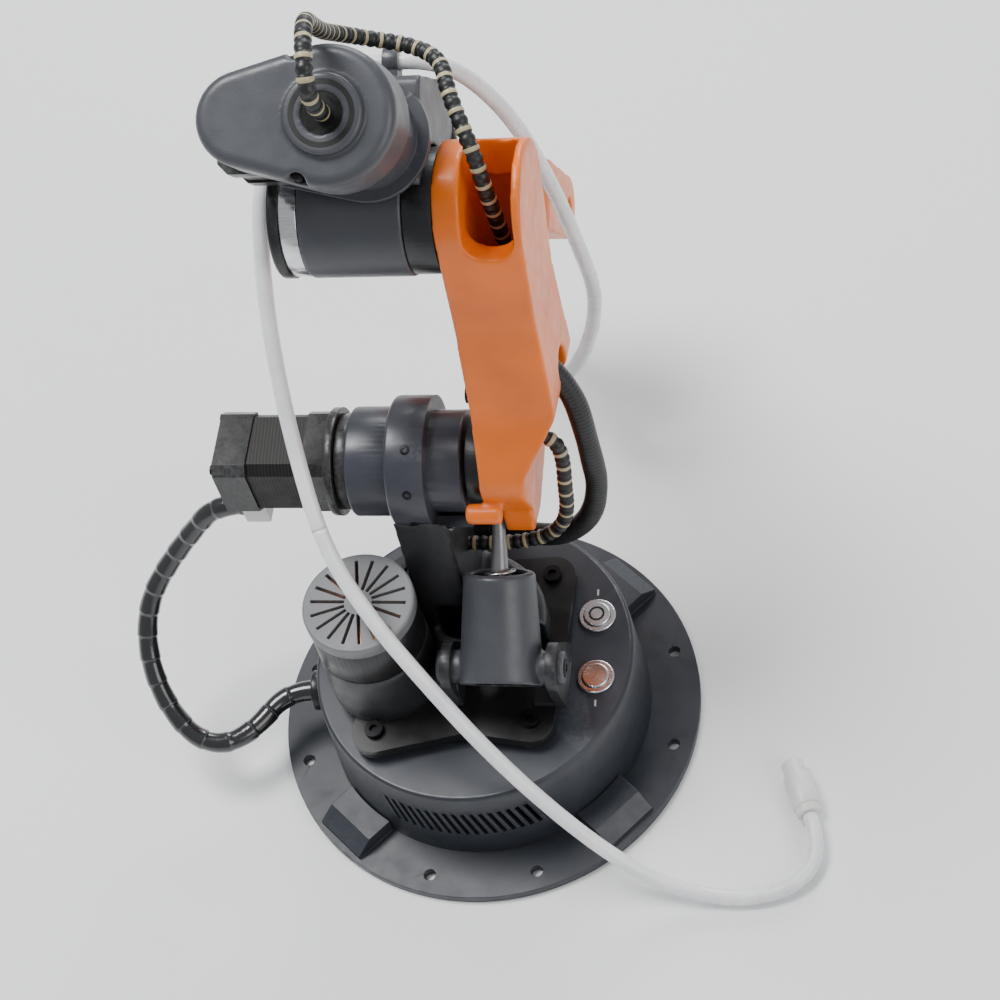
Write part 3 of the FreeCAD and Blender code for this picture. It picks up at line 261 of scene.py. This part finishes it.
FLOOR = plain_floor()
BASE = coated("base_satin_plastic", (0.020, 0.023, 0.031), 0.40, worn=(0.05, 0.055, 0.068))
# Painted light: the base's top face is coloured lighter than its walls, standing in for light falling on
# it from above.
LIT_TOP = coated("base_top_painted_light", (0.030, 0.034, 0.044), 0.38, worn=(0.07, 0.075, 0.088))
GREY = coated("cast_grey_paint", (0.050, 0.053, 0.062), 0.38, worn=(0.11, 0.115, 0.125))
SLATE = coated("shoulder_slate_paint", (0.036, 0.038, 0.050), 0.34, worn=(0.08, 0.083, 0.098))
DARK = coated("dark_grey_paint", (0.013, 0.0135, 0.016), 0.40, worn=(0.045, 0.046, 0.05))
PALE = coated("lid_grey_paint", (0.17, 0.174, 0.182), 0.42, worn=(0.27, 0.27, 0.28))
ORANGE = coated("orange_paint", (0.80, 0.150, 0.0), 0.40, relief=0.08, worn=(0.9, 0.24, 0.01), coat=0.1)
BLACK = coated("black_plastic", (0.006, 0.006, 0.0065), 0.34, worn=(0.025, 0.025, 0.027))
GLOSS = coated("gloss_black", (0.004, 0.004, 0.0045), 0.14, relief=0.03, coat=0.8)
MOTOR = coated("motor_black_paint", (0.007, 0.007, 0.0075), 0.30, worn=(0.16, 0.16, 0.16))
STACK_X = laminated("motor_stack_x", (0.034, 0.033, 0.032), "X")
STACK_Y = laminated("motor_stack_y", (0.034, 0.033, 0.032), "Y")
STEEL = brushed("turned_steel", (0.55, 0.55, 0.56), 0.26, (1, 1, 14))
SILVER = brushed("brushed_silver", (0.74, 0.74, 0.75), 0.20, (1, 18, 1))
ROD = coated("rod_grey", (0.22, 0.225, 0.235), 0.30, metallic=0.4)
SCREW = brushed("black_oxide_screw", (0.030, 0.030, 0.032), 0.4, (1, 1, 6))
COPPER = brushed("copper_winding", (0.62, 0.26, 0.12), 0.3, (1, 1, 20))
RECESS = coated("dark_recess", (0.004, 0.004, 0.0045), 0.6)
BOARD = coated("circuit_board", (0.015, 0.09, 0.035), 0.45)
WHITE = coated("white_plastic", (0.72, 0.72, 0.70), 0.35)
CUP = coated("cup_silicone", (0.60, 0.61, 0.60), 0.45, relief=0.05)
RUBBER = coated("belt_rubber", (0.012, 0.012, 0.012), 0.6)
SHEATH = coated("cable_sheath", (0.010, 0.010, 0.011), 0.42, relief=0.3)
TAPE = coated("harness_tape", (0.012, 0.0125, 0.014), 0.2, grain=900, relief=0.35, coat=0.6)
# A paler colour given to the first ring of each tape wrap.
TAPE_PALE_RING = coated("harness_tape_edge", (0.05, 0.052, 0.056), 0.25, coat=0.5)
BEAD = coated("wrap_beige", (0.40, 0.34, 0.20), 0.35)
HOSE = clear_hose()
PRINT = coated("pale_print", (0.55, 0.56, 0.57), 0.5)

CAD_LOOKS = {
    BASE: ["base_flange", "base_bottom_cover", "base_casing"],
    BLACK: ["turret_plate", "harness_gland", "yaw_motor_shell", "tube_collar", "shoulder_output_hub",
            "elbow_output_hub"],
    GREY: ["elbow_housing", "head_front_casting", "head_rear_frame", "head_rear_cover", "hose_clip",
           "balancer_housing"],
    SLATE: ["shoulder_housing"],
    DARK: ["turret_body", "yaw_motor_housing", "balancer_bracket", "suction_adapter"],
    PALE: ["yaw_motor_lid"],
    MOTOR: ["shoulder_motor", "shoulder_gearbox", "roll_motor", "elbow_motor", "yaw_motor", "tool_motor",
            "elbow_lid"],
    ORANGE: ["upper_arm_link", "wrist_fork"],
    GLOSS: ["forearm_tube", "wrist_carrier", "tool_flange"],
    STEEL: ["turret_spindle", "yaw_bearing", "yaw_pinion", "yaw_sun_gear", "balancer_spring",
            "balancer_pin", "forearm_spindle", "forearm_bearings", "roll_motor_pulley", "wrist_pins"],
    SILVER: ["button_bezels", "power_button", "reset_button"],
    ROD: ["balancer_rod"],
    SCREW: ["turret_screws", "bottom_cover_screws", "upper_arm_screws", "rear_cover_screws"],
    BOARD: ["control_board"],
    RUBBER: ["roll_belt"],
    WHITE: ["hose_fitting"],
    CUP: ["suction_cup"],
}

# ------------------------------------------------------------------ mesh helpers


def link_object(name, mesh, *surfaces):
    made = bpy.data.objects.new(name, mesh)
    for surface in surfaces:
        mesh.materials.append(surface)
    bpy.context.scene.collection.objects.link(made)
    return made


def from_bmesh(name, bm, surface, place):
    mesh = bpy.data.meshes.new(name)
    bmesh.ops.recalc_face_normals(bm, faces=bm.faces)
    bm.to_mesh(mesh)
    bm.free()
    mesh.transform(place)
    for polygon in mesh.polygons:
        polygon.use_smooth = True
    mesh.set_sharp_from_angle(angle=math.radians(35))
    return link_object(name, mesh, surface)


def lathe(name, profile, place, surface, steps=48):
    """Turns a profile of (radius, height) in millimetres about the place's Z axis."""
    bm = bmesh.new()
    rings = []
    for radius, height in profile:
        ring = []
        for k in range(steps):
            a = 2 * math.pi * k / steps
            ring.append(bm.verts.new((radius * MM * math.cos(a), radius * MM * math.sin(a), height * MM)))
        rings.append(ring)
    for low, high in zip(rings, rings[1:]):
        for k in range(steps):
            n = (k + 1) % steps
            bm.faces.new((low[k], low[n], high[n], high[k]))
    bm.faces.new(rings[0][::-1])
    bm.faces.new(rings[-1])
    return from_bmesh(name, bm, surface, place)


def block(name, size, place, surface, round_by=0.3):
    """A box centred on its place, with rounded edges, in millimetres."""
    bm = bmesh.new()
    bmesh.ops.create_cube(bm, size=1)
    bmesh.ops.scale(bm, vec=Vector(size) * MM, verts=bm.verts)
    bmesh.ops.bevel(bm, geom=bm.edges[:], offset=round_by * MM, segments=3, profile=0.5,
                    affect="EDGES")
    return from_bmesh(name, bm, surface, place)


def joined(name, pieces):
    """Joins pieces into one object."""
    first = pieces[0]
    with bpy.context.temp_override(active_object=first, object=first, selected_objects=pieces,
                                   selected_editable_objects=pieces):
        bpy.ops.object.join()
    first.name = name
    return first


# ------------------------------------------------------------------ carried-over nodes


def dress_cad_nodes():
    for surface, names in CAD_LOOKS.items():
        for name in names:
            mesh = NODES[name].data
            mesh.materials.clear()
            mesh.materials.append(surface)


def soften(name, width=0.25):
    """Small rounded edges that catch the light, and smooth curved faces."""
    item = NODES[name]
    weld = item.modifiers.new("weld", "WELD")
    weld.merge_threshold = 0.000005
    bevel = item.modifiers.new("edges", "BEVEL")
    bevel.width = width * MM
    bevel.segments = 2
    bevel.limit_method = "ANGLE"
    bevel.angle_limit = math.radians(40)
    bevel.harden_normals = True


def repaint(name, frame_of, surface, inside):
    """Adds a material and gives it to the faces whose centres, in a link's millimetres, pass inside()."""
    mesh = NODES[name].data
    mesh.materials.append(surface)
    index = len(mesh.materials) - 1
    back = frame_of.inverted()
    for polygon in mesh.polygons:
        x, y, z = (back @ polygon.center) / MM
        if inside(x, y, z):
            polygon.material_index = index


def cast(name, body, surface, voxel=0.7, passes=8):
    """A cast or moulded version of a node: the same shape with soft, rounded edges."""
    source = NODES[name]
    mesh = source.data.copy()
    shaped = link_object("%s_casting" % name, mesh)
    mesh.materials.clear()
    mesh.materials.append(surface)
    remesh = shaped.modifiers.new("remesh", "REMESH")
    remesh.mode = "VOXEL"
    remesh.voxel_size = voxel * MM
    smooth = shaped.modifiers.new("smooth", "SMOOTH")
    smooth.factor = 0.5
    smooth.iterations = passes
    bpy.context.view_layer.update()
    graph = bpy.context.evaluated_depsgraph_get()
    final = bpy.data.meshes.new_from_object(shaped.evaluated_get(graph))
    shaped.modifiers.clear()
    shaped.data = final
    for polygon in final.polygons:
        polygon.use_smooth = True
    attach(shaped, body)
    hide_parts(name)
    return shaped


# ------------------------------------------------------------------ cords


def spline_line(name, points):
    """The points along a smooth curve whose control points are the route's."""
    data = bpy.data.curves.new(name, "CURVE")
    data.dimensions = "3D"
    data.resolution_u = 16
    spline = data.splines.new("NURBS")
    spline.points.add(len(points) - 1)
    for point, place in zip(spline.points, points):
        point.co = (*place, 1)
    spline.order_u = 3
    spline.use_endpoint_u = True
    holder = bpy.data.objects.new(name, data)
    bpy.context.scene.collection.objects.link(holder)
    mesh = bpy.data.meshes.new_from_object(holder)
    line = [v.co.copy() for v in mesh.vertices]
    bpy.data.objects.remove(holder)
    bpy.data.meshes.remove(mesh)
    return line


def even(line, gap):
    """The same line as points a fixed distance apart."""
    result = [line[0]]
    left = gap
    for a, b in zip(line, line[1:]):
        length = (b - a).length
        done = 0.0
        while length - done >= left:
            done += left
            result.append(a.lerp(b, done / length))
            left = gap
        left -= length - done
    if (result[-1] - line[-1]).length > gap / 3:
        result.append(line[-1])
    else:
        result[-1] = line[-1]
    return result


def tube(name, line, radius_at, sides, surfaces, surface_at=lambda i: 0):
    """A closed tube along a line; radius and material may change from ring to ring."""
    verts, faces, slots = [], [], []
    side = Vector((0, 0, 1))
    count = len(line)
    for i, point in enumerate(line):
        ahead = (line[min(i + 1, count - 1)] - line[max(i - 1, 0)]).normalized()
        if abs(side.dot(ahead)) > 0.99:
            side = ahead.orthogonal()
        side = (side - ahead * side.dot(ahead)).normalized()
        other = ahead.cross(side)
        for k in range(sides):
            a = 2 * math.pi * k / sides
            verts.append(point + (side * math.cos(a) + other * math.sin(a)) * radius_at(i))
    for i in range(count - 1):
        for k in range(sides):
            n = (k + 1) % sides
            faces.append((i * sides + k, i * sides + n, (i + 1) * sides + n, (i + 1) * sides + k))
            slots.append(surface_at(i))
    faces.append(tuple(reversed(range(sides))))
    faces.append(tuple(range((count - 1) * sides, count * sides)))
    slots += [surface_at(0), surface_at(count - 2)]
    mesh = bpy.data.meshes.new(name)
    mesh.from_pydata(verts, [], faces)
    made = link_object(name, mesh, *surfaces)
    for polygon, index in zip(mesh.polygons, slots):
        polygon.use_smooth = True
        polygon.material_index = index
    return made


def route(*legs):
    return [at(link, *corner) for link, corners in legs for corner in corners]


ROUTES = {
    "base_harness": route(
        (GROUND, [(-64.2, -2, 26), (-75, -2, 26), (-86, -17, 25), (-97, -24, 26), (-108, -22, 29),
                  (-117, -13, 37), (-122, -2, 48), (-122, 9, 60), (-117, 17, 72), (-107, 23, 84),
                  (-96, 27, 96)]),
        (TURRET, [(-86, 23.69, 108.5), (-74.5, 23.69, 108.5)])),
    "shoulder_sleeve_cable": route(
        (UPPER_ARM, [(38, 6, 44), (45, 6, 34.5), (50, 6, 23), (52, 5, 9), (53, 5, -5)]),
        (TURRET, [(53, 33, 108), (50, 29, 95), (42, 27, 86), (31, 28, 81), (17, 32, 80), (4, 32, 80)])),
    "shoulder_spiral_cable": route(
        (UPPER_ARM, [(37.83, -4, 16), (43.4, -4, 12.85), (45, -4, 4), (44, -4, -8)]),
        (TURRET, [(43, 23.5, 107), (40, 23, 97), (33, 22, 90), (19, 21, 87), (4, 21, 87)])),
    "head_spiral_cable": route(
        (UPPER_ARM, [(36, 2, 94), (36, -3, 107), (35, -7, 121), (33, -6, 135)]),
        (FOREARM, [(25, -22, 14), (21, -14, 26), (10, -8, 32), (-4, -12, 34), (-10, -28, 33),
                   (-9, -48, 30), (-7, -66, 29), (-4, -83, 27), (-1, -95, 18), (0, -96, 6),
                   (0, -87, 0), (0, -72, 0)])),
    "suction_hose": route(
        (WRIST, [(0, -23, -32.29), (0, -31, -32.29), (5, -38, -31.5)]),
        (GROUND, [(33, 108, 60), (46, 114, 78), (52, 118, 102), (50, 117, 130), (46, 116, 165),
                  (40, 112, 205), (31, 106, 235)]),
        (FOREARM, [(14, 6, 29.5), (-6, 6, 29.5), (-22, 2, 26)]),
        (GROUND, [(-40, 76, 234), (-44, 60, 212), (-46, 44, 184), (-44, 22, 152), (-37, -4, 126),
                  (-22, -24, 109), (-7, -38, 91), (9, -51, 70), (26, -62, 49), (44, -71, 28),
                  (62, -78, 12), (80, -82, 4), (99, -84, 3.2), (116, -79, 4.2), (124, -66, 5.2),
                  (120, -52, 5.2)])),
}


def spiral_wrapped(name, radius):
    """A cable in a spiral wrap: black coils with beige ones between, each a rounded bead."""
    line = even(spline_line(name, ROUTES[name]), 0.00045)
    period = 7

    def bead(i):
        return radius * (0.80 + 0.20 * abs(math.sin(math.pi * i / period)))

    piece = tube(name + "_wrap", line, bead, 20, (SHEATH, BEAD),
                 lambda i: 1 if (i // period) % 2 and i % period in (2, 3, 4) else 0)
    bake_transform(piece)
    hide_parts(name)


def sleeved(name, radius):
    """A cable in a braided sleeve: fine rings and a slightly uneven thickness."""
    line = even(spline_line(name, ROUTES[name]), 0.0005)

    def braid(i):
        return radius * (0.95 + 0.03 * math.sin(i * 2.1) + 0.02 * math.sin(i * 0.13))

    piece = tube(name + "_sleeve", line, braid, 24, (SHEATH,))
    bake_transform(piece)
    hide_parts(name)


def taped_harness(radius):
    """The bundle from the base to the shoulder motor, wrapped in short lengths of tape."""
    line = even(spline_line("base_harness", ROUTES["base_harness"]), 0.0006)
    wrap = 16

    def thickness(i):
        along = i % wrap / wrap
        return radius * (0.90 + 0.10 * (1 - along) - (0.05 if along < 0.06 else 0))

    # The first ring of each wrap gets the paler colour.
    piece = tube("base_harness_tape", line, thickness, 24, (TAPE, TAPE_PALE_RING),
                 lambda i: 1 if i % wrap == 0 else 0)
    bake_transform(piece)
    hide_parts("base_harness")


def air_hose(radius):
    """The air hose, in six lengths; cuts are shares of its length."""
    line = even(spline_line("suction_hose", ROUTES["suction_hose"]), 0.0015)
    cuts = [0.0, 0.06, 0.125, 0.345, 0.45, 0.63, 1.0]
    last = len(line) - 1
    for k in range(6):
        first, end = round(cuts[k] * last), round(cuts[k + 1] * last)
        part = line[first:end + 1]
        piece = tube("suction_hose_%d" % (k + 1), part, lambda i: radius, 20, (HOSE,))
        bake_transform(piece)
        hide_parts("suction_hose")


# ------------------------------------------------------------------ added details


def screw_head(name, place, radius, height):
    """A small socket-head screw with its recess."""
    r, h = radius, height
    profile = [(r, 0), (r, h * 0.75), (r * 0.88, h), (r * 0.5, h), (r * 0.46, h * 0.35), (0.01, h * 0.3)]
    return lathe(name, profile, place, SCREW, 24)


def add_motor_details():
    """Four screws and a bearing boss on the shoulder motor's rear bell."""
    rear = TURRET @ moved(-78, 29.69, 127) @ turned("Y", -90)
    screws = [screw_head("shoulder_bell_screw_%d" % i, rear @ moved(11 * sx, 11 * sy, 0), 1.9, 0.9)
              for i, (sx, sy) in enumerate(((1, 1), (-1, 1), (-1, -1), (1, -1)))]
    boss = lathe("shoulder_bell_boss", [(7, 0), (7, 0.5), (6.4, 0.9), (3.4, 0.9), (3.2, 0.3), (0.01, 0.3)],
                 rear, MOTOR)
    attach(joined("shoulder_bell_fittings", [*screws, boss]), "turret")


def add_windings():
    """Copper at the bottom of the yaw motor lid's slots."""
    strips = []
    for i in range(18):
        place = YAW_MOTOR @ turned("Z", 20 * i) @ moved(11.2, 0, 96.9)
        strips.append(block("winding_%d" % i, (10.5, 0.9, 0.7), place, COPPER, 0.25))
    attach(joined("yaw_motor_windings", strips), "turret")


def add_button_marks():
    """A ring on the power button, and a short printed dash beside each button."""
    top = 44.7
    ring = lathe("power_button_ring", [(2.2, 0), (2.2, 0.12), (3.0, 0.12), (3.0, 0)],
                 moved(46, 14, top - 0.05), RECESS)
    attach(ring, "power_button")
    dashes = [block("lid_dash_%d" % i, (0.7, 2.6, 0.1), moved(46, y, 42.34), PRINT, 0.04)
              for i, y in enumerate((24.5, -22.5))]
    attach(joined("lid_dashes", dashes), "base")


def add_head_details():
    """The dark ring inside the rear cover's boss."""
    boss = FOREARM @ moved(0, -79, 0) @ turned("X", 90)
    ring = lathe("boss_inner_ring", [(8.6, -0.6), (8.6, 0.12), (10.2, 0.12), (10.2, -0.6)], boss, RECESS)
    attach(ring, "head")


def add_fork_caps():
    """The wrist pivot's cap screws on both prongs."""
    for k, side in enumerate((1, -1)):
        place = WRIST @ moved(side * 25.1, 0, 0) @ turned("Y", 90 * side)
        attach(screw_head("wrist_pivot_screw_%d" % k, place, 3.6, 2.2), "wrist")


def add_set_screws():
    """Small socket screws that lock the shoulder ring and the forearm's collar."""
    shoulder = TURRET @ moved(-7, 29.69, 127)
    heads = [screw_head("ring_screw_%d" % i, shoulder @ turned("X", a) @ moved(0, 0, 23.0), 1.7, 0.5)
             for i, a in enumerate((25, 65, 105))]
    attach(joined("shoulder_ring_screws", heads), "turret")
    collar = FOREARM @ moved(0, 95.6, 0)
    heads = [screw_head("collar_screw_%d" % i, collar @ turned("Y", a) @ moved(0, 0, 12.8), 1.4, 0.5)
             for i, a in enumerate((30, 150, 270))]
    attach(joined("collar_screws", heads), "forearm")


def add_trunnion_screws():
    for k, side in enumerate((1, -1)):
        place = BALANCER @ moved(side * 23, 0, 0) @ turned("Y", 90 * side)
        profile = [(3.4, 0), (3.4, 0.35), (3.0, 0.5), (1.7, 0.5), (1.6, -0.2), (0.01, -0.3)]
        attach(lathe("trunnion_screw_%d" % k, profile, place, SCREW, 32), "balancer_housing")


# ------------------------------------------------------------------ building the scene

add_camera()
add_world()
add_light("key", (-0.5, 0.25, 1.5), (0, 0.05, 0.1), 0.7, 26)
add_light("fill", (1.3, -0.8, 1.0), (0, 0, 0.12), 1.2, 12, (1, 0.98, 0.95))
add_light("rim", (0.3, 1.5, 0.9), (0, 0.05, 0.15), 0.8, 14, (0.95, 0.98, 1))
add_floor(FLOOR)

dress_cad_nodes()
# Painted light: the casing's upward faces get the lighter top colour, standing in for the lamp's light on
# them.
repaint("base_casing", GROUND, LIT_TOP, lambda x, y, z: z > 42.25)
repaint("shoulder_motor", TURRET, STACK_X, lambda x, y, z: -66.1 < x < -45.9 and z > 113.5)
repaint("shoulder_motor", TURRET, WHITE, lambda x, y, z: z < 112.9 and x < -60)
repaint("shoulder_motor", TURRET, SILVER, lambda x, y, z: -68 < x < -66 and z > 113)
repaint("shoulder_gearbox", TURRET, SLATE, lambda x, y, z: x > -29.9)
repaint("roll_motor", FOREARM, STACK_Y, lambda x, y, z: -46.1 < y < -32.9)
repaint("elbow_motor", HEAD, SILVER, lambda x, y, z: x < -24.9)
repaint("tool_motor", WRIST, SILVER, lambda x, y, z: z > 22.9)
repaint("head_rear_cover", FOREARM, RECESS, lambda x, y, z: math.hypot(x, z) < 6.45 and y < -72)

CASTINGS = {
    "upper_arm_link": ("upper_arm", ORANGE, 0.7, 10),
    "wrist_fork": ("forearm", ORANGE, 0.65, 8),
    "head_rear_cover": ("head", GREY, 0.6, 3),
    "head_front_casting": ("head", GREY, 0.6, 5),
    "elbow_housing": ("head", GREY, 0.7, 4),
    "balancer_housing": ("balancer_housing", GREY, 0.6, 4),
    "turret_body": ("turret", DARK, 0.8, 4),
}
for node, (body, surface, voxel, passes) in CASTINGS.items():
    cast(node, body, surface, voxel, passes)
for node in NODES:
    if node not in CASTINGS and node not in ROUTES:
        soften(node)

spiral_wrapped("head_spiral_cable", 0.00275)
spiral_wrapped("shoulder_spiral_cable", 0.00275)
sleeved("shoulder_sleeve_cable", 0.0042)
taped_harness(0.004)
air_hose(0.0028)

add_motor_details()
add_windings()
add_button_marks()
add_head_details()
add_fork_caps()
add_trunnion_screws()
add_set_screws()
